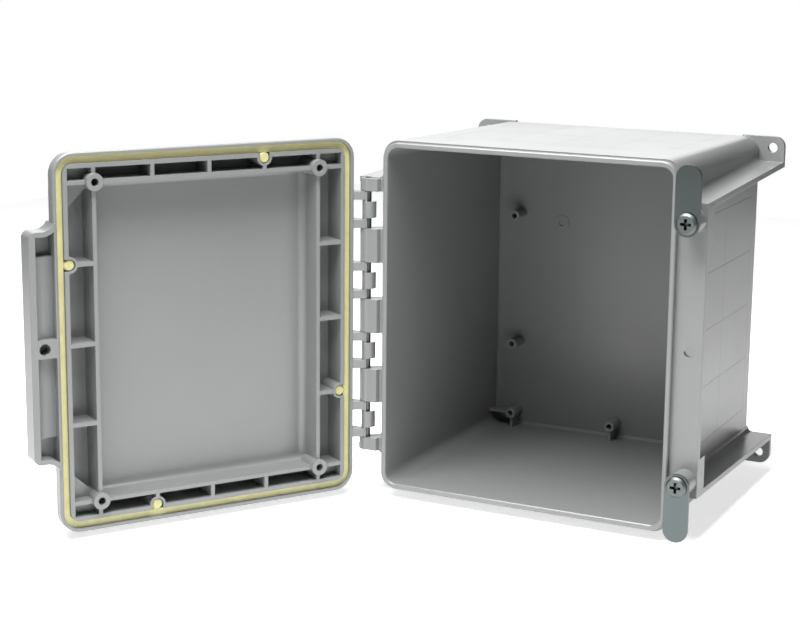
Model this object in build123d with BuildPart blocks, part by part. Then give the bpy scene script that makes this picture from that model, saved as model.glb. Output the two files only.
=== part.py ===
from build123d import *
from math import cos, radians, sin, sqrt
import os

os.makedirs("parts", exist_ok=True)

# Moulded wall-mounted junction box, cover hung open on its left-hand hinge.
# Origin: centre of the foot-hole pattern on the wall plane. X right, Y into the wall, Z up. Millimetres.

# Opening and shell
OPENING_WIDTH = 218.6
OPENING_HEIGHT = 254.0
INNER_DEPTH = 200.6
BACK_WALL = 3.6
EMBED = 2.0
JOIN = 0.5
LIP_WIDTH = 3.7
LIP_EXTRA_TOP = 0.3
LIP_STAND = 4.0
LIP_BEVEL = 0.7
STEP_OUT = 1.3
SIDE_DRAFT = 4.4
TOP_DRAFT = 3.1
BACK_BEVEL = 4.0
BACK_CORNER = 9.0
CAVITY_DRAFT = 1.5
SHELL_CORNER = 12.0
CAVITY_CORNER = 8.0
CAVITY_FLOOR_BEVEL = 2.0

# Shelves, feet and latch flange
SHELF_THICKNESS = 4.0
SHELF_DROP = 28.3
SHELF_RISE = 6.6
SHELF_OUT = 19.7
SHELF_TAPER = 4.5
SHELF_ROOT = 4.0
FOOT_THICKNESS = 4.0
FOOT_RISE = 19.4
FOOT_ROOT = 14.0
FOOT_CORNER = 8.0
FOOT_HOLE_EDGE = 9.05
FOOT_HOLE_DROP = 8.7
FOOT_HOLE_RADIUS = 3.8
FLANGE_THICKNESS = 4.0
RETURN_DEPTH = 15.0
RETURN_WALL = 3.5
RETURN_LONG = 26.0

# Hinge
HINGE_OUT = 14.0
PIN_RADIUS = 2.38
PIN_FIT = 0.04
RUN_CLEARANCE = 0.3
KNUCKLE_RADIUS = 5.0
KNUCKLE_FLAT = 4.6
KNUCKLE_BEVEL = 1.6
KNUCKLE_NOSE = 9.8
KNUCKLE_WEB = 10.9
KNUCKLE_WEB_STAND = 1.2
KNUCKLE_PITCH = 53.3
KNUCKLE_TALL = 25.3
END_KNUCKLE_TALL = 9.4
KNUCKLE_GUSSET = 16.0
OPEN_ANGLE = 122.4
PIN_OVERHANG = 0.2
HOOK_WALL = 1.8
HOOK_START = -60
HOOK_MOUTH = 50
HOOK_ARM_TALL = 6.3
HOOK_TOE = 4.0
HOOK_NEAR = 0.5
HOOK_FAR = 0.85
SNAP_TALL = 12.0
SNAP_INNER = 3.4
SNAP_OUTER = 6.0
SNAP_START = 38
SNAP_SPAN = 111

# Panel bosses on the back wall
BOSS_RADIUS = 4.3
BOSS_BORE = 2.15
BOSS_STAND = 17.0
BOSS_BORE_DEPTH = 12.0
BOSS_SIDE = 21.3
BOSS_EDGE = 13.7
BOSS_MID_Z = 53.8
BOSS_RIB = 2.0
PAD_RADIUS = 6.5
PAD_STAND = 0.5
PAD_DIMPLE = 2.5
PAD_X = -52.5
PAD_Z = 48.5

# Cover
RIM_REACH = 2.5
RIM_GAP = 0.3
RIM_CORNER = 15.0
RIM_OVERLAP = 2.5
RIM_FRONT = 5.4
RIM_BEVEL = 0.7
INNER_LIP_GAP = 1.0
INNER_LIP_WALL = 3.2
INNER_LIP_REAR = 2.0
INNER_LIP_CORNER = 7.0
GROOVE_FLOOR = 3.5
GASKET_TOP = 0.3
GASKET_SIDE_GAP = 0.1
PANEL_INNER = 18.0
COVER_FRONT = 21.5
DOME_INSET = 3.0
DOME_CORNER = 24.0
DOME_DRAFT = 0.4
DOME_ROUND = 6.0
DOME_BEVEL = 1.8
RIB = 3.0
FRAME_SIDE = 22.1
FRAME_EDGE = 13.1
COVER_BOSS_RADIUS = 6.15
COVER_BOSS_BORE = 2.7
COVER_BOSS_REAR = 4.75
COVER_BOSS_DEPTH = 15.0
CORNER_CELL_FLOOR = 7.0
CORNER_WEB_DROP = 20.9
CORNER_WEB_OUT = 3.3
PANEL_FILLET = 5.0
PANEL_CORNER = 2.0
PANEL_DRAFT = 1.0
POUR_INSET = 6.5
POUR_OUTER = 5.8
POUR_WALL = 1.6
BLOB_STAND = 1.0
BLOB_BEVEL = 0.9

# Latch rail on the cover
RAIL_OUT = 18.2
RAIL_END_DROP = 10.6
RAIL_CORNER = 5.0
RAIL_REAR = 3.6
RAIL_SWEEP_GAP = 2.1
RAIL_LUG_FRONT = 11.2
RAIL_LUG_LONG = 16.8
RAIL_LUG_RAMP = 3.0
RAIL_WALL = 4.8
RAIL_END_WALL = 3.7
RAIL_SKIN = 3.0
RAIL_WEB = 6.5
RAIL_POCKET_LONG = 17.7
PADLOCK_OUT = 10.0
PADLOCK_RADIUS = 3.95

# Hasps and their screws
PIVOT_OUT = 10.7
PIVOT_DROP = 12.2
PIVOT_BOSS_RADIUS = 8.5
PIVOT_BOSS_STAND = 15.5
HASP_HALF_WIDTH = 9.0
HASP_LENGTH = 40.0
HASP_THICKNESS = 2.0
SCREW_RADIUS = 3.1
HEAD_RADIUS = 7.4
HEAD_THICKNESS = 2.6
HEAD_BEVEL = 1.5
SCREW_LENGTH = 12.0
INSERT_RADIUS = 4.7
INSERT_LENGTH = 13.0
SEAT_FIT = 0.05
CROSS_WIDTH = 2.0
CROSS_LENGTH = 7.6
CROSS_DEPTH = 2.2

# Values worked out from the driving sizes
half_w = OPENING_WIDTH / 2
half_h = OPENING_HEIGHT / 2
lip_f = INNER_DEPTH + BACK_WALL
step_f = lip_f - LIP_STAND
lip_half_w = half_w + LIP_WIDTH
lip_half_h = half_h + LIP_WIDTH + LIP_EXTRA_TOP
body_half_w = lip_half_w + STEP_OUT
body_half_h = lip_half_h + STEP_OUT
hinge_x = -(lip_half_w + HINGE_OUT)
hinge_f = step_f
lip_ahead = lip_f - hinge_f
hook_tall = KNUCKLE_PITCH - KNUCKLE_TALL - 2 * RUN_CLEARANCE
hook_levels = [KNUCKLE_PITCH * step for step in (-1.5, -0.5, 0.5, 1.5)]
end_knuckle_z = 2 * KNUCKLE_PITCH - KNUCKLE_TALL / 2 + END_KNUCKLE_TALL / 2
hook_bore = PIN_RADIUS + RUN_CLEARANCE
shelf_front_height = body_half_h - SHELF_DROP
shelf_back_height = shelf_front_height + SHELF_RISE
shelf_front_reach = body_half_w + SHELF_OUT
shelf_back_reach = shelf_front_reach - SHELF_TAPER
foot_top = shelf_back_height + FOOT_RISE
foot_hole_x = shelf_back_reach - FOOT_HOLE_EDGE
foot_hole_z = foot_top - FOOT_HOLE_DROP
flange_half = shelf_front_height - SHELF_THICKNESS / 2
return_inner = flange_half - RETURN_LONG
padlock_x = body_half_w + PADLOCK_OUT
pivot_x = body_half_w + PIVOT_OUT
pivot_z = shelf_front_height - PIVOT_DROP
boss_x = half_w - BOSS_SIDE
boss_z = half_h - BOSS_EDGE
pivot_boss_f = step_f + PIVOT_BOSS_STAND
hasp_rear_f = pivot_boss_f + RUN_CLEARANCE
head_rear_f = hasp_rear_f + HASP_THICKNESS + RUN_CLEARANCE
pivots = ((pivot_x, pivot_z), (pivot_x, -pivot_z))
rim_in_w = lip_half_w + RIM_GAP
rim_in_h = lip_half_h + RIM_GAP
rim_w = rim_in_w + RIM_REACH
rim_h = rim_in_h + RIM_REACH
inner_w = half_w - INNER_LIP_GAP
inner_h = half_h - INNER_LIP_GAP
well_w = inner_w - INNER_LIP_WALL
well_h = inner_h - INNER_LIP_WALL
frame_x = inner_w - FRAME_SIDE
frame_z = inner_h - FRAME_EDGE
rib_x = frame_x / 2
rib_z = frame_z / 2
corner_web_x = frame_x + CORNER_WEB_OUT
corner_web_z = frame_z - CORNER_WEB_DROP
rail_reach = rim_w + RAIL_OUT
rail_end = pivot_z - RAIL_END_DROP
rail_lug_inner = rail_end - RAIL_LUG_LONG
rail_pocket_start = rail_end - RAIL_POCKET_LONG


def ahead(distance):
    """Plane that faces the viewer, a distance in front of the wall."""
    return Plane.XZ.offset(distance)


def lying(height):
    """Horizontal plane at a height."""
    return Plane.XY.offset(height)


# Moulding core of the inside, with a broken edge round the floor and at the lip
with BuildPart() as cavity:
    for forward, inset, corner in (
            (BACK_WALL, CAVITY_DRAFT + CAVITY_FLOOR_BEVEL, CAVITY_CORNER - CAVITY_FLOOR_BEVEL),
            (BACK_WALL + CAVITY_FLOOR_BEVEL, CAVITY_DRAFT, CAVITY_CORNER),
            (lip_f - LIP_BEVEL, 0, CAVITY_CORNER),
            (lip_f, -LIP_BEVEL, CAVITY_CORNER + LIP_BEVEL)):
        with BuildSketch(ahead(forward)):
            RectangleRounded(2 * (half_w - inset), 2 * (half_h - inset), corner)
    loft(ruled=True)

# One shelf and the foot at its back end, then all four by mirror
with BuildPart() as shelves:
    for forward, wall_x, reach, height in (
            (0.0, body_half_w - SIDE_DRAFT, shelf_back_reach, shelf_back_height),
            (step_f, body_half_w, shelf_front_reach, shelf_front_height)):
        under = height - SHELF_THICKNESS
        root_x = wall_x + SHELF_ROOT
        with BuildSketch(ahead(forward)):
            with BuildLine():
                Line((reach, under), (reach, height))
                Line((reach, height), (root_x, height))
                CenterArc((root_x, height + SHELF_ROOT), SHELF_ROOT, 180, 90)
                Polyline((wall_x, height + SHELF_ROOT), (wall_x - EMBED, height + SHELF_ROOT),
                         (wall_x - EMBED, under - SHELF_ROOT), (wall_x, under - SHELF_ROOT))
                CenterArc((root_x, under - SHELF_ROOT), SHELF_ROOT, 90, 90)
                Line((root_x, under), (reach, under))
            make_face()
    loft(ruled=True)
    with BuildSketch(ahead(0)) as foot_outline:
        foot_base = shelf_back_height - SHELF_THICKNESS / 2
        foot_width = shelf_back_reach - body_half_w + SIDE_DRAFT + FOOT_ROOT
        with Locations((shelf_back_reach - foot_width / 2, (foot_top + foot_base) / 2)):
            Rectangle(foot_width, foot_top - foot_base)
        fillet(foot_outline.vertices().sort_by(Axis.X)[-2:].sort_by(Axis.Y)[-1], FOOT_CORNER)
        with Locations((foot_hole_x, foot_hole_z)):
            Circle(FOOT_HOLE_RADIUS, mode=Mode.SUBTRACT)
    extrude(amount=FOOT_THICKNESS)
    mirror(about=Plane.XY)
    mirror(about=Plane.YZ)

with BuildPart() as enclosure_body:
    # Drafted outside of the box up to the step behind the lip
    for forward, inset_w, inset_h, corner in (
            (0, SIDE_DRAFT + BACK_BEVEL, TOP_DRAFT + BACK_BEVEL, BACK_CORNER),
            (BACK_BEVEL, SIDE_DRAFT, TOP_DRAFT, SHELL_CORNER),
            (step_f, 0, 0, SHELL_CORNER)):
        with BuildSketch(ahead(forward)):
            RectangleRounded(2 * (body_half_w - inset_w), 2 * (body_half_h - inset_h), corner)
    loft(ruled=True)
    # Sealing lip
    with BuildSketch(ahead(step_f)):
        RectangleRounded(2 * lip_half_w, 2 * lip_half_h, SHELL_CORNER)
    extrude(amount=LIP_STAND)
    chamfer(enclosure_body.faces().sort_by(Axis.Y)[0].edges(), LIP_BEVEL)
    add(shelves.part)
    # Latch flange with a short return at each end
    return_x = shelf_front_reach - RETURN_WALL / 2
    with BuildSketch(ahead(step_f)):
        with Locations(((body_half_w - EMBED + shelf_front_reach) / 2, 0)):
            Rectangle(shelf_front_reach - body_half_w + EMBED, 2 * flange_half)
    extrude(amount=-FLANGE_THICKNESS)
    with BuildSketch(ahead(step_f)):
        with Locations(*[(return_x, half * (return_inner + flange_half) / 2) for half in (-1, 1)]):
            Rectangle(RETURN_WALL, flange_half - return_inner)
    extrude(amount=-RETURN_DEPTH)
    # Screw bosses of the two hasps
    with BuildSketch(ahead(step_f - FLANGE_THICKNESS)):
        with Locations(*pivots):
            Circle(PIVOT_BOSS_RADIUS)
    extrude(amount=FLANGE_THICKNESS + PIVOT_BOSS_STAND)
    # Hinge knuckles: barrel, flat nose and gusset to the wall
    knuckle_rows = [(level, KNUCKLE_TALL) for level in (-KNUCKLE_PITCH, 0, KNUCKLE_PITCH)]
    knuckle_rows += [(-end_knuckle_z, END_KNUCKLE_TALL), (end_knuckle_z, END_KNUCKLE_TALL)]
    gusset_x = -body_half_w + EMBED
    nose_x = hinge_x + KNUCKLE_NOSE
    barrel_x = hinge_x - KNUCKLE_RADIUS
    web_x = hinge_x + KNUCKLE_WEB
    for level, tall in knuckle_rows:
        with BuildSketch(lying(level - tall / 2)):
            with Locations((hinge_x, -hinge_f)):
                Circle(KNUCKLE_RADIUS)
            with BuildLine():
                Polyline((barrel_x, -hinge_f),
                         (barrel_x, -hinge_f - KNUCKLE_FLAT + KNUCKLE_BEVEL),
                         (barrel_x + KNUCKLE_BEVEL, -hinge_f - KNUCKLE_FLAT),
                         (nose_x, -hinge_f - KNUCKLE_FLAT),
                         (web_x, -hinge_f - KNUCKLE_WEB_STAND),
                         (gusset_x, -hinge_f - KNUCKLE_WEB_STAND),
                         (gusset_x, -hinge_f + KNUCKLE_GUSSET), (hinge_x, -hinge_f + KNUCKLE_RADIUS),
                         close=True)
            make_face()
        extrude(amount=tall)
    # Hollow of the box
    add(cavity.part, mode=Mode.SUBTRACT)
    # Panel bosses, with ribs from the outer ones to the nearest walls
    boss_places = [(sx * boss_x, sz * z) for sx in (-1, 1) for sz in (-1, 1) for z in (boss_z, BOSS_MID_Z)]
    boss_places += [(0, -boss_z), (0, boss_z)]
    with BuildSketch(ahead(BACK_WALL / 2)):
        with Locations(*boss_places):
            Circle(BOSS_RADIUS)
    extrude(amount=BACK_WALL / 2 + BOSS_STAND)
    rib_up = half_h - boss_z
    rib_out = half_w - boss_x
    with BuildSketch(ahead(BACK_WALL / 2)):
        for half in (-1, 1):
            with Locations(*[(x, half * (boss_z + rib_up / 2)) for x in (-boss_x, 0, boss_x)]):
                Rectangle(BOSS_RIB, rib_up)
            with Locations(*[(side * (boss_x + rib_out / 2), half * boss_z) for side in (-1, 1)]):
                Rectangle(rib_out, BOSS_RIB)
    extrude(amount=BACK_WALL / 2 + BOSS_STAND - BOSS_RIB)
    with BuildSketch(ahead(BACK_WALL + BOSS_STAND)):
        with Locations(*boss_places):
            Circle(BOSS_BORE)
    extrude(amount=-BOSS_BORE_DEPTH, mode=Mode.SUBTRACT)
    # Round locating pad
    with BuildSketch(ahead(BACK_WALL / 2)):
        with Locations((PAD_X, PAD_Z)):
            Circle(PAD_RADIUS)
    extrude(amount=BACK_WALL / 2 + PAD_STAND)
    with BuildSketch(ahead(BACK_WALL + PAD_STAND)):
        with Locations((PAD_X, PAD_Z)):
            Circle(PAD_DIMPLE)
    extrude(amount=-2 * PAD_STAND, mode=Mode.SUBTRACT)
    # Padlock hole in the flange
    with BuildSketch(ahead(step_f)):
        with Locations((padlock_x, 0)):
            Circle(PADLOCK_RADIUS)
    extrude(amount=-FLANGE_THICKNESS, mode=Mode.SUBTRACT)
    # Seats of the threaded inserts
    with BuildSketch(ahead(pivot_boss_f)):
        with Locations(*pivots):
            Circle(INSERT_RADIUS + SEAT_FIT)
    extrude(amount=-INSERT_LENGTH, mode=Mode.SUBTRACT)
    # Bore of the hinge pin through every knuckle
    with BuildSketch(lying(-end_knuckle_z - END_KNUCKLE_TALL)):
        with Locations((hinge_x, -hinge_f)):
            Circle(PIN_RADIUS + PIN_FIT)
    extrude(amount=2 * (end_knuckle_z + END_KNUCKLE_TALL), mode=Mode.SUBTRACT)

enclosure_body.part.label = "enclosure_body"
export_step(enclosure_body.part, "parts/enclosure_body.step")

# Hinge pin
pin_half = end_knuckle_z + END_KNUCKLE_TALL / 2 - PIN_OVERHANG
with BuildPart() as hinge_pin:
    with BuildSketch(lying(-pin_half)):
        with Locations((hinge_x, -hinge_f)):
            Circle(PIN_RADIUS)
    extrude(amount=2 * pin_half)

hinge_pin.part.label = "hinge_pin"
export_step(hinge_pin.part, "parts/hinge_pin.step")

# The cover is drawn on planes that are swung open with it about the hinge line
swing = radians(OPEN_ANGLE)
door_x = Vector(cos(swing), -sin(swing), 0)
door_normal = Vector(-sin(swing), -cos(swing), 0)
door_centre = Vector(hinge_x, -hinge_f, 0) + door_x * -hinge_x + door_normal * lip_ahead
door = Plane(origin=door_centre, x_dir=door_x, z_dir=door_normal)
door_axis = Axis(door_centre, door_normal)


def door_level(height):
    """Horizontal plane on the hinge line, with the cover's own X and Y."""
    return Plane(origin=(hinge_x, -hinge_f, height), x_dir=door_x, z_dir=(0, 0, 1))


# Where the gasket runs out: one pour pocket on each side
pour_radius = POUR_OUTER - POUR_WALL
pour_w = half_w + LIP_WIDTH / 2 - POUR_INSET
pour_h = half_h + LIP_WIDTH / 2 - POUR_INSET
pour_up = ((-rib_x, pour_h), (rib_x, -pour_h))
pour_across = ((pour_w, rib_z), (-pour_w, -rib_z))
corner_bosses = [(sx * frame_x, sz * frame_z) for sx in (-1, 1) for sz in (-1, 1)]
well_depth = PANEL_INNER + INNER_LIP_REAR
half_rib = RIB / 2

# Moulding core of the plain middle panel
with BuildPart() as panel_core:
    with BuildSketch(door.offset(-INNER_LIP_REAR)):
        RectangleRounded(2 * (frame_x - half_rib), 2 * (frame_z - half_rib), PANEL_CORNER)
    extrude(amount=well_depth, taper=PANEL_DRAFT)
    fillet(panel_core.faces().sort_by(door_axis)[-1].edges(), PANEL_FILLET)

with BuildPart() as cover:
    # Rim that wraps round the sealing lip
    with BuildSketch(door.offset(-RIM_OVERLAP)):
        RectangleRounded(2 * rim_w, 2 * rim_h, RIM_CORNER)
    extrude(amount=RIM_OVERLAP + RIM_FRONT)
    chamfer(cover.faces().sort_by(door_axis)[0].edges(), RIM_BEVEL)
    # Raised front with a broad rounded edge
    for level, inset in (
            (RIM_FRONT - EMBED, DOME_INSET),
            (COVER_FRONT - DOME_ROUND, DOME_INSET + DOME_DRAFT),
            (COVER_FRONT - DOME_BEVEL, DOME_INSET + DOME_DRAFT + DOME_BEVEL),
            (COVER_FRONT, DOME_INSET + DOME_DRAFT + DOME_ROUND)):
        with BuildSketch(door.offset(level)):
            RectangleRounded(2 * (rim_w - inset), 2 * (rim_h - inset), DOME_CORNER + DOME_INSET - inset)
    loft(ruled=True)
    # Latch rail; its ends sweep up round the screw bosses, and its lugs lean on the raised front
    rail_sweep = PIVOT_BOSS_RADIUS + RAIL_SWEEP_GAP
    rail_shoulder = pivot_z - sqrt(rail_sweep ** 2 - (pivot_x - rim_w) ** 2)
    for rail_inner, rail_rear in ((rim_w - RIM_REACH / 2, -RAIL_REAR), (rim_w - DOME_INSET - JOIN, 0)):
        with BuildSketch(door.offset(rail_rear)) as rail_outline:
            with Locations(((rail_inner + rail_reach) / 2, 0)):
                Rectangle(rail_reach - rail_inner, 2 * rail_end)
            fillet(rail_outline.vertices().group_by(Axis.X)[-1], RAIL_CORNER)
            with Locations(((rail_inner + pivot_x) / 2, 0)):
                Rectangle(pivot_x - rail_inner, 2 * rail_shoulder)
            with Locations(*pivots):
                Circle(rail_sweep, mode=Mode.SUBTRACT)
        extrude(amount=RAIL_LUG_FRONT - rail_rear)
    # The rail is lower between its two end lugs
    rail_ahead = Plane(origin=door_centre + door_x * (rim_w - DOME_INSET), x_dir=(0, 0, 1), z_dir=door_x)
    with BuildSketch(rail_ahead):
        with BuildLine():
            ramp_foot = rail_lug_inner - RAIL_LUG_RAMP
            cut_top = -COVER_FRONT
            Polyline((-ramp_foot, -RIM_FRONT), (ramp_foot, -RIM_FRONT), (rail_lug_inner, -RAIL_LUG_FRONT),
                     (rail_lug_inner, cut_top), (-rail_lug_inner, cut_top),
                     (-rail_lug_inner, -RAIL_LUG_FRONT), close=True)
        make_face()
    extrude(amount=rail_reach, mode=Mode.SUBTRACT)
    # Rear face of everything inside the groove
    with BuildSketch(door.offset(-RIM_OVERLAP)):
        RectangleRounded(2 * inner_w, 2 * inner_h, INNER_LIP_CORNER)
    extrude(amount=RIM_OVERLAP - INNER_LIP_REAR, mode=Mode.SUBTRACT)
    # Gasket groove
    with BuildSketch(door.offset(-RIM_OVERLAP)):
        RectangleRounded(2 * rim_in_w, 2 * rim_in_h, SHELL_CORNER + RIM_GAP)
        RectangleRounded(2 * inner_w, 2 * inner_h, INNER_LIP_CORNER, mode=Mode.SUBTRACT)
    extrude(amount=RIM_OVERLAP + GROOVE_FLOOR, mode=Mode.SUBTRACT)
    # Wells between the ribs: a row of cells along each side
    add(panel_core.part, mode=Mode.SUBTRACT)
    up_stops = (-frame_x, -rib_x, 0, rib_x, frame_x)
    across_stops = (-frame_z, -rib_z, 0, rib_z, frame_z)
    band_up = well_h - frame_z - half_rib
    band_across = well_w - frame_x - half_rib
    with BuildSketch(door.offset(-INNER_LIP_REAR)):
        for half in (-1, 1):
            for low, high in zip(up_stops, up_stops[1:]):
                with Locations(((low + high) / 2, half * (well_h - band_up / 2))):
                    Rectangle(high - low - RIB, band_up)
            for low, high in zip(across_stops, across_stops[1:]):
                with Locations((half * (well_w - band_across / 2), (low + high) / 2)):
                    Rectangle(band_across, high - low - RIB)
    extrude(amount=well_depth, mode=Mode.SUBTRACT)
    # Shallow corner cells
    with BuildSketch(door.offset(-INNER_LIP_REAR)):
        for sx, sz in ((-1, -1), (-1, 1), (1, -1), (1, 1)):
            with Locations((sx * (well_w - band_across / 2), sz * (well_h - band_up / 2))):
                Rectangle(band_across, band_up)
    extrude(amount=INNER_LIP_REAR + CORNER_CELL_FLOOR, mode=Mode.SUBTRACT)
    # Webs across the two latch-side corners
    with BuildSketch(door.offset(CORNER_CELL_FLOOR)):
        for half in (-1, 1):
            with BuildLine():
                Polyline((well_w + JOIN, half * corner_web_z), (corner_web_x, half * (frame_z - 2 * RIB)),
                         (frame_x, half * frame_z), (well_w + JOIN, half * frame_z), close=True)
            make_face()
    extrude(amount=PANEL_INNER - CORNER_CELL_FLOOR + JOIN)
    # Corner bosses and the walls of the pour pockets
    with BuildSketch(door.offset(-COVER_BOSS_REAR)):
        with Locations(*corner_bosses):
            Circle(COVER_BOSS_RADIUS)
    extrude(amount=COVER_BOSS_REAR + PANEL_INNER + JOIN)
    with BuildSketch(door.offset(-INNER_LIP_REAR)):
        with Locations(*pour_up, *pour_across):
            Circle(POUR_OUTER)
        RectangleRounded(2 * inner_w, 2 * inner_h, INNER_LIP_CORNER, mode=Mode.INTERSECT)
    extrude(amount=well_depth + JOIN)
    with BuildSketch(door.offset(-RIM_OVERLAP)):
        with Locations(*pour_up, *pour_across):
            Circle(pour_radius)
        for x, z in pour_up:
            with Locations((x, z + (POUR_INSET / 2 if z > 0 else -POUR_INSET / 2))):
                Rectangle(2 * pour_radius, POUR_INSET)
        for x, z in pour_across:
            with Locations((x + (POUR_INSET / 2 if x > 0 else -POUR_INSET / 2), z)):
                Rectangle(POUR_INSET, 2 * pour_radius)
    extrude(amount=RIM_OVERLAP + GROOVE_FLOOR, mode=Mode.SUBTRACT)
    with BuildSketch(door.offset(-COVER_BOSS_REAR)):
        with Locations(*corner_bosses):
            Circle(COVER_BOSS_BORE)
    extrude(amount=COVER_BOSS_REAR + COVER_BOSS_DEPTH, mode=Mode.SUBTRACT)
    # Rear of the latch rail: deep end pockets and a long channel with a rounded floor
    pocket_edge = rail_reach - RAIL_WALL
    with BuildSketch(door.offset(-RAIL_REAR)):
        for half in (-1, 1):
            with Locations(((rim_w + pocket_edge) / 2, half * (rail_pocket_start + pivot_z) / 2)):
                Rectangle(pocket_edge - rim_w, pivot_z - rail_pocket_start)
        with Locations(*pivots):
            Circle(rail_sweep + RAIL_END_WALL, mode=Mode.SUBTRACT)
    extrude(amount=RAIL_REAR + RAIL_LUG_FRONT - RAIL_SKIN, mode=Mode.SUBTRACT)
    for low, high in ((-rail_pocket_start - JOIN, -RAIL_WEB), (RAIL_WEB, rail_pocket_start + JOIN)):
        with BuildSketch(door_level(low)):
            with BuildLine():
                channel_x = rim_w - hinge_x
                channel_y = RAIL_REAR - lip_ahead
                EllipticalCenterArc((channel_x, channel_y), pocket_edge - rim_w,
                                    RAIL_REAR + RIM_FRONT - RAIL_SKIN, start_angle=270, arc_size=90)
                Polyline((channel_x, channel_y - RAIL_REAR - RIM_FRONT + RAIL_SKIN), (channel_x, channel_y),
                         (channel_x + pocket_edge - rim_w, channel_y))
            make_face()
        extrude(amount=high - low, mode=Mode.SUBTRACT)
    with BuildSketch(door.offset(-RAIL_REAR)):
        with Locations((padlock_x, 0)):
            Circle(PADLOCK_RADIUS)
    extrude(amount=RAIL_REAR + RIM_FRONT, mode=Mode.SUBTRACT)
    # Hinge hooks: an open shell on the pin, two arms and a snap tab
    rim_local = -rim_w - hinge_x
    arm_rear = RIM_OVERLAP - lip_ahead
    arm_front = -RIM_FRONT - lip_ahead
    shell_outer = hook_bore + HOOK_WALL
    for level in hook_levels:
        with BuildSketch(door_level(level - hook_tall / 2)):
            with BuildLine():
                shell_in = CenterArc((0, 0), hook_bore, HOOK_START, HOOK_MOUTH - HOOK_START)
                shell_out = CenterArc((0, 0), shell_outer, HOOK_START, HOOK_MOUTH - HOOK_START)
                Line(shell_in @ 0, shell_out @ 0)
                Line(shell_in @ 1, shell_out @ 1)
            make_face()
        extrude(amount=hook_tall)
        for low in (level - hook_tall / 2, level + hook_tall / 2 - HOOK_ARM_TALL):
            with BuildSketch(door_level(low)):
                with BuildLine():
                    Polyline((rim_local + JOIN, arm_front), (rim_local + JOIN, arm_rear),
                             (shell_outer * HOOK_FAR, shell_outer * HOOK_NEAR), (0, 0),
                             (shell_outer * HOOK_NEAR, -shell_outer * HOOK_FAR),
                             (rim_local - HOOK_TOE, arm_front), close=True)
                make_face()
                Circle(hook_bore, mode=Mode.SUBTRACT)
            extrude(amount=HOOK_ARM_TALL)
        with BuildSketch(door_level(level - SNAP_TALL / 2)):
            with BuildLine():
                tab_in = CenterArc((0, 0), SNAP_INNER, SNAP_START, SNAP_SPAN)
                tab_out = CenterArc((0, 0), SNAP_OUTER, SNAP_START, SNAP_SPAN)
                Line(tab_in @ 0, tab_out @ 0)
                Line(tab_in @ 1, tab_out @ 1)
            make_face()
        extrude(amount=SNAP_TALL)

cover.part.label = "cover"
export_step(cover.part, "parts/cover.step")

# Poured gasket with a blob in each pour pocket
with BuildPart() as cover_gasket:
    with BuildSketch(door.offset(GASKET_TOP)):
        RectangleRounded(2 * (rim_in_w - GASKET_SIDE_GAP), 2 * (rim_in_h - GASKET_SIDE_GAP), SHELL_CORNER)
        RectangleRounded(2 * (inner_w + GASKET_SIDE_GAP), 2 * (inner_h + GASKET_SIDE_GAP),
                         INNER_LIP_CORNER + GASKET_SIDE_GAP, mode=Mode.SUBTRACT)
    extrude(amount=GROOVE_FLOOR - GASKET_TOP)
    blob_radius = pour_radius - GASKET_SIDE_GAP
    with BuildSketch(door.offset(-BLOB_STAND)):
        with Locations(*pour_up, *pour_across):
            Circle(blob_radius)
    extrude(amount=GROOVE_FLOOR + BLOB_STAND)
    chamfer(cover_gasket.faces().sort_by(door_axis)[:4].edges(), BLOB_BEVEL)
    with BuildSketch(door.offset(GASKET_TOP)):
        for x, z in pour_up:
            with Locations((x, z + (POUR_INSET / 2 if z > 0 else -POUR_INSET / 2))):
                Rectangle(blob_radius, POUR_INSET)
        for x, z in pour_across:
            with Locations((x + (POUR_INSET / 2 if x > 0 else -POUR_INSET / 2), z)):
                Rectangle(POUR_INSET, blob_radius)
    extrude(amount=GROOVE_FLOOR - GASKET_TOP)

cover_gasket.part.label = "cover_gasket"
export_step(cover_gasket.part, "parts/cover_gasket.step")

# The latch fittings, alike above and below
for name, half in (("upper", 1), ("lower", -1)):
    pivot = (pivot_x, half * pivot_z)
    with BuildPart() as insert:
        with BuildSketch(ahead(pivot_boss_f)):
            with Locations(pivot):
                Circle(INSERT_RADIUS)
                Circle(SCREW_RADIUS + SEAT_FIT, mode=Mode.SUBTRACT)
        extrude(amount=-INSERT_LENGTH)
    insert.part.label = name + "_latch_insert"
    export_step(insert.part, "parts/" + name + "_latch_insert.step")

    with BuildPart() as hasp:
        with BuildSketch(ahead(hasp_rear_f)):
            with Locations(pivot):
                Circle(HASP_HALF_WIDTH)
            straight = HASP_LENGTH - HASP_HALF_WIDTH
            with Locations((pivot_x, half * (pivot_z + straight / 2))):
                Rectangle(2 * HASP_HALF_WIDTH, straight)
            with Locations((pivot_x, half * (pivot_z + straight))):
                Circle(HASP_HALF_WIDTH)
            with Locations(pivot):
                Circle(SCREW_RADIUS + RUN_CLEARANCE, mode=Mode.SUBTRACT)
        extrude(amount=HASP_THICKNESS)
    hasp.part.label = name + "_hasp"
    export_step(hasp.part, "parts/" + name + "_hasp.step")

    with BuildPart() as screw:
        with BuildSketch(ahead(head_rear_f)):
            with Locations(pivot):
                Circle(HEAD_RADIUS)
        extrude(amount=HEAD_THICKNESS)
        chamfer(screw.edges().sort_by(Axis.Y)[0], HEAD_BEVEL)
        with BuildSketch(ahead(head_rear_f + HEAD_THICKNESS)):
            with Locations(pivot):
                Rectangle(CROSS_LENGTH, CROSS_WIDTH)
                Rectangle(CROSS_WIDTH, CROSS_LENGTH)
        extrude(amount=-CROSS_DEPTH, mode=Mode.SUBTRACT)
        with BuildSketch(ahead(head_rear_f)):
            with Locations(pivot):
                Circle(SCREW_RADIUS)
        extrude(amount=-SCREW_LENGTH)
    screw.part.label = name + "_latch_screw"
    export_step(screw.part, "parts/" + name + "_latch_screw.step")
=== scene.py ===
from math import cos, radians, sin

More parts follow.
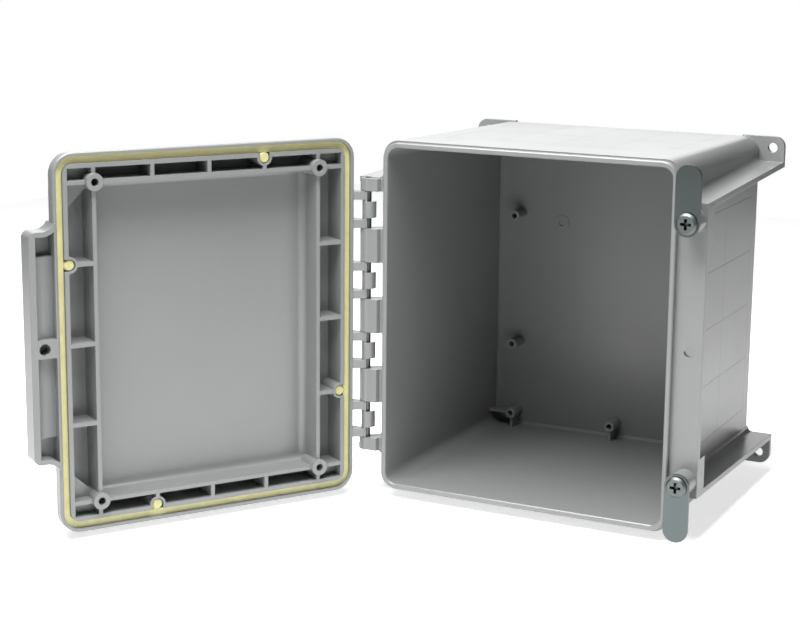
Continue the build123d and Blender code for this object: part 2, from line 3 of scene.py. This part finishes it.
import bmesh
import bpy
from mathutils import Matrix, Vector

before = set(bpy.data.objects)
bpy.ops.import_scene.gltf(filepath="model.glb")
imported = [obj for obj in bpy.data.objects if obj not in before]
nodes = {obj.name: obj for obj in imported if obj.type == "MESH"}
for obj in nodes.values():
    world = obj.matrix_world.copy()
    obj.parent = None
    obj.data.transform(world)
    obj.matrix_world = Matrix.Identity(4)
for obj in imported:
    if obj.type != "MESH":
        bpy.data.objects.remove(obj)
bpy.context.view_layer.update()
mm = 0.001

print("stage: helpers")


def linear(hexColour):
    # sRGB hex to the linear colour that shaders take
    channels = [int(hexColour[i:i + 2], 16) / 255 for i in (1, 3, 5)]
    return [c / 12.92 if c <= 0.04045 else ((c + 0.055) / 1.055) ** 2.4 for c in channels] + [1.0]


def newMaterial(name, viewColour):
    material = bpy.data.materials.new(name)
    material.use_nodes = True
    material.diffuse_color = linear(viewColour)
    material.node_tree.nodes.clear()
    return material


def addNode(tree, kind, settings=None, links=None):
    # settings: attribute or input -> value, links: input -> output socket
    # A colour mix takes its share at input 0 and its colours at 6 and 7, and gives the result at output 2
    node = tree.nodes.new(kind)
    for key, value in (settings or {}).items():
        if isinstance(key, str) and hasattr(node, key):
            setattr(node, key, value)
        else:
            node.inputs[key].default_value = value
    for key, socket in (links or {}).items():
        tree.links.new(socket, node.inputs[key])
    return node


def wear(piece, material):
    piece.data.materials.clear()
    piece.data.materials.append(material)


# Glass-filled polyester, compression moulded: grey right through, satin, with a very fine texture
# from the tool and faint flow clouds. The eye sees a soft sheen along the radii.
moulding = {
    "colour": "#717372",
    "cloudColour": "#6B6D6C",
    "roughness": 0.3,
    "roughnessSpread": 0.05,
    "cloudSize": 90,
    "cloudDetail": 4,
    "cloudRoughness": 0.6,
    "grainSize": 0.8,            # coarser than the tool's real texture, so that it shows
    "grainDetail": 2,
    "grainHeight": 0.02,
    "grainStrength": 0.25,
    "edgeRadius": 0.5,
    "edgeSamples": 6,
    "ior": 1.5,
}

# Drill guide on the four outer sides of the box: fine moulded lines, a frame with a grid in it, darkened in
# colour with painted shade as if in their grooves
drillGuide = {
    "middle": -87.2,             # along Y
    "lengthways": 70.0,          # pitch of the lines along Y
    "across": 42.3,              # and along Z on the sides or X on the top and bottom
    "rowsLengthways": 1,         # fields on each side of the middle line
    "rowsAcross": 2,
    "wallX": (109.6, 115.0),     # the outer walls, as distances from the middle of the box
    "wallZ": (127.8, 133.0),
    "flatness": 0.95,            # least part of a face's normal that points straight out of the wall
    "line": 0.9,                 # width, enough to show at this distance
    "depth": 0.5,                # also more than the real one, for the same reason
    # Painted shade in the grooves: its colour, and the share of it laid on the lines
    "shade": "#4E5150",
    "shading": 0.7,
}


def guideLines(tree, place):
    # 1 on a line of the drill guide, 0 beside it
    middle = (0, drillGuide["middle"] * mm, 0)
    halfLine = drillGuide["line"] * mm / 2
    shifted = addNode(tree, "ShaderNodeVectorMath", {"operation": "SUBTRACT", 1: middle},
                      {0: place.outputs["Object"]})
    unsigned = addNode(tree, "ShaderNodeVectorMath", {"operation": "ABSOLUTE"}, {0: shifted.outputs[0]})
    away = addNode(tree, "ShaderNodeSeparateXYZ", links={0: unsigned.outputs[0]})
    upright = addNode(tree, "ShaderNodeVectorMath", {"operation": "ABSOLUTE"}, {0: place.outputs["Normal"]})
    facing = addNode(tree, "ShaderNodeSeparateXYZ", links={0: upright.outputs[0]})
    onWall = []
    for letter in "XZ":
        low, high = (distance * mm for distance in drillGuide["wall" + letter])
        flat = addNode(tree, "ShaderNodeMath",
                       {"operation": "GREATER_THAN", 1: drillGuide["flatness"]}, {0: facing.outputs[letter]})
        near = addNode(tree, "ShaderNodeMath",
                       {"operation": "COMPARE", 1: (low + high) / 2, 2: (high - low) / 2},
                       {0: away.outputs[letter]})
        onWall.append(addNode(tree, "ShaderNodeMath", {"operation": "MULTIPLY"},
                              {0: flat.outputs[0], 1: near.outputs[0]}))
    alongSide = addNode(tree, "ShaderNodeMath", {"operation": "MULTIPLY"},
                        {0: away.outputs["Z"], 1: onWall[0].outputs[0]})
    alongBoth = addNode(tree, "ShaderNodeMath", {"operation": "MULTIPLY_ADD"},
                        {0: away.outputs["X"], 1: onWall[1].outputs[0], 2: alongSide.outputs[0]})
    inside = addNode(tree, "ShaderNodeMath", {"operation": "ADD"},
                     {0: onWall[0].outputs[0], 1: onWall[1].outputs[0]})
    lines = []
    for run, pitch, reach in ((away.outputs["Y"], drillGuide["lengthways"], drillGuide["rowsLengthways"]),
                              (alongBoth.outputs[0], drillGuide["across"], drillGuide["rowsAcross"])):
        # Folding at half a pitch gives the distance to the nearest line
        fold = addNode(tree, "ShaderNodeMath", {"operation": "PINGPONG", 1: pitch * mm / 2}, {0: run})
        lines.append(addNode(tree, "ShaderNodeMath", {"operation": "LESS_THAN", 1: halfLine},
                             {0: fold.outputs[0]}))
        within = addNode(tree, "ShaderNodeMath",
                         {"operation": "LESS_THAN", 1: reach * pitch * mm + halfLine}, {0: run})
        inside = addNode(tree, "ShaderNodeMath", {"operation": "MULTIPLY"},
                         {0: inside.outputs[0], 1: within.outputs[0]})
    either = addNode(tree, "ShaderNodeMath", {"operation": "MAXIMUM"},
                     {0: lines[0].outputs[0], 1: lines[1].outputs[0]})
    return addNode(tree, "ShaderNodeMath", {"operation": "MULTIPLY"},
                   {0: either.outputs[0], 1: inside.outputs[0]})


def mouldedPolyester(name, guided):
    material = newMaterial(name, moulding["colour"])
    tree = material.node_tree
    place = addNode(tree, "ShaderNodeTexCoord")
    cloud = addNode(tree, "ShaderNodeTexNoise",
                    {"Scale": 1 / (moulding["cloudSize"] * mm), "Detail": moulding["cloudDetail"],
                     "Roughness": moulding["cloudRoughness"]},
                    {"Vector": place.outputs["Object"]})
    tint = addNode(tree, "ShaderNodeMix",
                   {"data_type": "RGBA", 6: linear(moulding["colour"]), 7: linear(moulding["cloudColour"])},
                   {0: cloud.outputs["Fac"]})
    gloss = addNode(tree, "ShaderNodeMapRange",
                    {"To Min": moulding["roughness"] - moulding["roughnessSpread"],
                     "To Max": moulding["roughness"] + moulding["roughnessSpread"]},
                    {"Value": cloud.outputs["Fac"]})
    grain = addNode(tree, "ShaderNodeTexNoise",
                    {"Scale": 1 / (moulding["grainSize"] * mm), "Detail": moulding["grainDetail"]},
                    {"Vector": place.outputs["Object"]})
    edges = addNode(tree, "ShaderNodeBevel",
                    {"samples": moulding["edgeSamples"], "Radius": moulding["edgeRadius"] * mm})
    bump = addNode(tree, "ShaderNodeBump",
                   {"Strength": moulding["grainStrength"], "Distance": moulding["grainHeight"] * mm},
                   {"Height": grain.outputs["Fac"], "Normal": edges.outputs[0]})
    colour = tint.outputs[2]
    if guided:
        lines = guideLines(tree, place)
        bump = addNode(tree, "ShaderNodeBump", {"invert": True, "Distance": drillGuide["depth"] * mm},
                       {"Height": lines.outputs[0], "Normal": bump.outputs[0]})
        # Painted shade: the grooved lines are darkened in colour as if shade lay in them
        faint = addNode(tree, "ShaderNodeMath", {"operation": "MULTIPLY", 1: drillGuide["shading"]},
                        {0: lines.outputs[0]})
        shaded = addNode(tree, "ShaderNodeMix", {"data_type": "RGBA", 7: linear(drillGuide["shade"])},
                         {0: faint.outputs[0], 6: colour})
        colour = shaded.outputs[2]
    shader = addNode(tree, "ShaderNodeBsdfPrincipled", {"IOR": moulding["ior"]},
                     {"Base Color": colour, "Roughness": gloss.outputs[0], "Normal": bump.outputs[0]})
    addNode(tree, "ShaderNodeOutputMaterial", links={"Surface": shader.outputs[0]})
    return material


# Poured polyurethane foam: dull straw yellow, a closed skin over small bubbles
gasketFoam = {
    "colour": "#BDBA88",
    "shade": "#A19D68",
    "roughness": 0.38,
    "bubble": 1.4,
    "bubbleHeight": 0.1,
    "bubbleStrength": 0.3,
    "cloud": 6,
    "cloudDetail": 3,
    "glowDepth": (1.0, 0.8, 0.4),    # red, green and blue light, before the shader's own scale
    "glowShare": 0.1,
}


def pouredFoam():
    material = newMaterial("pouredFoam", gasketFoam["colour"])
    tree = material.node_tree
    place = addNode(tree, "ShaderNodeTexCoord")
    bubbles = addNode(tree, "ShaderNodeTexVoronoi", {"Scale": 1 / (gasketFoam["bubble"] * mm)},
                      {"Vector": place.outputs["Object"]})
    clouds = addNode(tree, "ShaderNodeTexNoise",
                     {"Scale": 1 / (gasketFoam["cloud"] * mm), "Detail": gasketFoam["cloudDetail"]},
                     {"Vector": place.outputs["Object"]})
    tint = addNode(tree, "ShaderNodeMix",
                   {"data_type": "RGBA", 6: linear(gasketFoam["colour"]), 7: linear(gasketFoam["shade"])},
                   {0: clouds.outputs["Fac"]})
    bump = addNode(tree, "ShaderNodeBump",
                   {"Strength": gasketFoam["bubbleStrength"], "Distance": gasketFoam["bubbleHeight"] * mm},
                   {"Height": bubbles.outputs["Distance"]})
    shader = addNode(tree, "ShaderNodeBsdfPrincipled",
                     {"Roughness": gasketFoam["roughness"], "Subsurface Weight": gasketFoam["glowShare"],
                      "Subsurface Radius": [depth * mm for depth in gasketFoam["glowDepth"]]},
                     {"Base Color": tint.outputs[2], "Normal": bump.outputs[0]})
    addNode(tree, "ShaderNodeOutputMaterial", links={"Surface": shader.outputs[0]})
    return material


# Stainless steel strip, cold rolled: a fine grain along its length, grey and half dull
stainless = {
    "colour": "#565C5C",
    "roughness": 0.38,
    "roughnessSpread": 0.08,
    "across": 0.25,              # size of the grain across the strip, coarser than real so that it shows
    "along": 12,                 # and along it
    "grainDetail": 3,
    "grainHeight": 0.02,
    "grainStrength": 0.12,
}


def rolledStainless():
    material = newMaterial("rolledStainless", stainless["colour"])
    tree = material.node_tree
    place = addNode(tree, "ShaderNodeTexCoord")
    across, along = 1 / (stainless["across"] * mm), 1 / (stainless["along"] * mm)
    stretch = addNode(tree, "ShaderNodeMapping", {"Scale": (across, across, along)},
                      {"Vector": place.outputs["Object"]})
    grain = addNode(tree, "ShaderNodeTexNoise", {"Scale": 1.0, "Detail": stainless["grainDetail"]},
                    {"Vector": stretch.outputs[0]})
    gloss = addNode(tree, "ShaderNodeMapRange",
                    {"To Min": stainless["roughness"] - stainless["roughnessSpread"],
                     "To Max": stainless["roughness"] + stainless["roughnessSpread"]},
                    {"Value": grain.outputs["Fac"]})
    bump = addNode(tree, "ShaderNodeBump",
                   {"Strength": stainless["grainStrength"], "Distance": stainless["grainHeight"] * mm},
                   {"Height": grain.outputs["Fac"]})
    shader = addNode(tree, "ShaderNodeBsdfPrincipled",
                     {"Base Color": linear(stainless["colour"]), "Metallic": 1.0},
                     {"Roughness": gloss.outputs[0], "Normal": bump.outputs[0]})
    addNode(tree, "ShaderNodeOutputMaterial", links={"Surface": shader.outputs[0]})
    return material


# Zinc-plated steel, cold headed: a dull silver skin, with painted shade darkening the recess
zinc = {
    "colour": "#626766",
    # colour of the painted shade in the recess
    "shade": "#050505",
    "roughness": 0.5,
    "roughnessSpread": 0.06,
    "speckle": 0.6,
    "speckleDetail": 3,
    "recess": 3.0,               # reach of the shade
    "closed": 0.55,              # part of the sky that is free where the shade is full
    "open": 0.85,                # and where it ends
    "shadeSamples": 8,
}


def platedZinc():
    material = newMaterial("platedZinc", zinc["colour"])
    tree = material.node_tree
    place = addNode(tree, "ShaderNodeTexCoord")
    speckle = addNode(tree, "ShaderNodeTexNoise",
                      {"Scale": 1 / (zinc["speckle"] * mm), "Detail": zinc["speckleDetail"]},
                      {"Vector": place.outputs["Object"]})
    gloss = addNode(tree, "ShaderNodeMapRange",
                    {"To Min": zinc["roughness"] - zinc["roughnessSpread"],
                     "To Max": zinc["roughness"] + zinc["roughnessSpread"]},
                    {"Value": speckle.outputs["Fac"]})
    # Painted shade: ambient occlusion turns the colour dark in the recess
    paintedShadeOcclusion = addNode(tree, "ShaderNodeAmbientOcclusion",
                     {"samples": zinc["shadeSamples"], "only_local": True, "Distance": zinc["recess"] * mm})
    depth = addNode(tree, "ShaderNodeMapRange", {"From Min": zinc["closed"], "From Max": zinc["open"]},
                    {"Value": paintedShadeOcclusion.outputs["AO"]})
    tint = addNode(tree, "ShaderNodeMix",
                   {"data_type": "RGBA", 6: linear(zinc["shade"]), 7: linear(zinc["colour"])},
                   {0: depth.outputs[0]})
    shader = addNode(tree, "ShaderNodeBsdfPrincipled", {"Metallic": 1.0},
                     {"Base Color": tint.outputs[2], "Roughness": gloss.outputs[0]})
    addNode(tree, "ShaderNodeOutputMaterial", links={"Surface": shader.outputs[0]})
    return material


# Turned brass, dulled in the moulding tool: a warm, soft shine inside the screw bosses
turnedBrass = {
    "colour": "#B49A5B",
    "roughness": 0.35,
    "roughnessSpread": 0.08,
    "grain": 1.1,
    "grainDetail": 2,
}


def brassInsert():
    material = newMaterial("turnedBrass", turnedBrass["colour"])
    tree = material.node_tree
    place = addNode(tree, "ShaderNodeTexCoord")
    grain = addNode(tree, "ShaderNodeTexNoise",
                    {"Scale": 1 / (turnedBrass["grain"] * mm), "Detail": turnedBrass["grainDetail"]},
                    {"Vector": place.outputs["Object"]})
    gloss = addNode(tree, "ShaderNodeMapRange",
                    {"To Min": turnedBrass["roughness"] - turnedBrass["roughnessSpread"],
                     "To Max": turnedBrass["roughness"] + turnedBrass["roughnessSpread"]},
                    {"Value": grain.outputs["Fac"]})
    shader = addNode(tree, "ShaderNodeBsdfPrincipled",
                     {"Base Color": linear(turnedBrass["colour"]), "Metallic": 1.0},
                     {"Roughness": gloss.outputs[0]})
    addNode(tree, "ShaderNodeOutputMaterial", links={"Surface": shader.outputs[0]})
    return material


print("stage: materials")
polyester = mouldedPolyester("mouldedPolyester", False)
guidedPolyester = mouldedPolyester("guidedPolyester", True)
foam = pouredFoam()
steel = rolledStainless()
plated = platedZinc()
brass = brassInsert()
for name, finish in (("enclosure_body", guidedPolyester), ("cover", polyester), ("cover_gasket", foam),
                     ("hinge_pin", steel), ("upper_hasp", steel), ("lower_hasp", steel),
                     ("upper_latch_screw", plated), ("lower_latch_screw", plated),
                     ("upper_latch_insert", brass), ("lower_latch_insert", brass)):
    wear(nodes[name], finish)

print("stage: studio")

# Places and sizes of the studio are in metres, the lens and the sensor in mm and the angles in degrees
studio = {
    "floorHeight": -0.139,
    "floorSize": 2.6,
    "floorColour": "#F6F6F6",
    "floorRoughness": 0.9,
    "cameraPlace": (0.51368, -1.38869, 0.28624),
    "azimuth": 26.89,
    "elevation": 11.15,
    "roll": 0.621,
    "lens": 82.89,
    "sensor": 36,
    "clip": (0.05, 50),
    "shift": (-0.0166, -0.0393),
    "white": "#FFFFFF",
    "backdrop": 1.0,
    "ambient": 0.12,
    "glow": 0.6,
}

# A softbox close above the front of the box, and a wide lamp low behind it for the sheen on its top
softbox = {"place": (-0.1, -0.55, 0.88), "target": (-0.1, -0.4, 0), "size": (0.75, 0.7), "power": 34}
backLamp = {"place": (-0.95, 1.75, 0.4), "target": (0, 0, 0), "strength": 0.55, "spread": 40}


def studioFloor():
    mesh = bpy.data.meshes.new("studioFloor")
    shape = bmesh.new()
    bmesh.ops.create_grid(shape, x_segments=1, y_segments=1, size=studio["floorSize"] / 2)
    bmesh.ops.translate(shape, verts=shape.verts, vec=(0, 0, studio["floorHeight"]))
    shape.to_mesh(mesh)
    shape.free()
    floor = bpy.data.objects.new("studioFloor", mesh)
    bpy.context.scene.collection.objects.link(floor)
    material = newMaterial("paleFloor", studio["floorColour"])
    tree = material.node_tree
    # A lit table: a frosted white sheet with light under it
    shader = addNode(tree, "ShaderNodeBsdfPrincipled",
                     {"Base Color": linear(studio["floorColour"]), "Roughness": studio["floorRoughness"],
                      "Emission Color": linear(studio["white"]), "Emission Strength": studio["glow"]})
    addNode(tree, "ShaderNodeOutputMaterial", links={"Surface": shader.outputs[0]})
    wear(floor, material)


def studioCamera():
    azimuth, elevation, roll = (radians(studio[key]) for key in ("azimuth", "elevation", "roll"))
    ahead = Vector((-sin(azimuth) * cos(elevation), cos(azimuth) * cos(elevation), -sin(elevation)))
    right = Vector((cos(azimuth), sin(azimuth), 0))
    up = right.cross(ahead)
    across = right * cos(roll) + up * sin(roll)
    upright = up * cos(roll) - right * sin(roll)
    camera = bpy.data.objects.new("studioCamera", bpy.data.cameras.new("studioCamera"))
    bpy.context.scene.collection.objects.link(camera)
    turn = Matrix((across, upright, -ahead)).transposed()
    camera.matrix_world = Matrix.Translation(studio["cameraPlace"]) @ turn.to_4x4()
    camera.data.lens = studio["lens"]
    camera.data.sensor_width = studio["sensor"]
    camera.data.shift_x, camera.data.shift_y = studio["shift"]
    camera.data.clip_start, camera.data.clip_end = studio["clip"]
    bpy.context.scene.camera = camera


def addLamp(name, kind, place, target, settings):
    light = bpy.data.lights.new(name, kind)
    for key, value in settings.items():
        setattr(light, key, value)
    lamp = bpy.data.objects.new(name, light)
    bpy.context.scene.collection.objects.link(lamp)
    lamp.location = place
    lamp.rotation_euler = (Vector(target) - Vector(place)).to_track_quat("-Z", "Y").to_euler()


def studioWorld():
    world = bpy.data.worlds.new("studioWorld")
    world.use_nodes = True
    world.node_tree.nodes.clear()
    tree = world.node_tree
    # The backdrop is white to look at, and gives less light than that
    seen = addNode(tree, "ShaderNodeLightPath")
    strength = addNode(tree, "ShaderNodeMapRange",
                       {"To Min": studio["ambient"], "To Max": studio["backdrop"]},
                       {"Value": seen.outputs["Is Camera Ray"]})
    sky = addNode(tree, "ShaderNodeBackground", {"Color": linear(studio["white"])},
                  {"Strength": strength.outputs[0]})
    addNode(tree, "ShaderNodeOutputWorld", links={"Surface": sky.outputs[0]})
    bpy.context.scene.world = world


studioFloor()
studioCamera()
addLamp("overheadSoftbox", "AREA", softbox["place"], softbox["target"],
        {"shape": "RECTANGLE", "size": softbox["size"][0], "size_y": softbox["size"][1],
         "energy": softbox["power"]})
addLamp("backLamp", "SUN", backLamp["place"], backLamp["target"],
        {"energy": backLamp["strength"], "angle": radians(backLamp["spread"])})
studioWorld()
bpy.context.scene.view_settings.view_transform = "Standard"
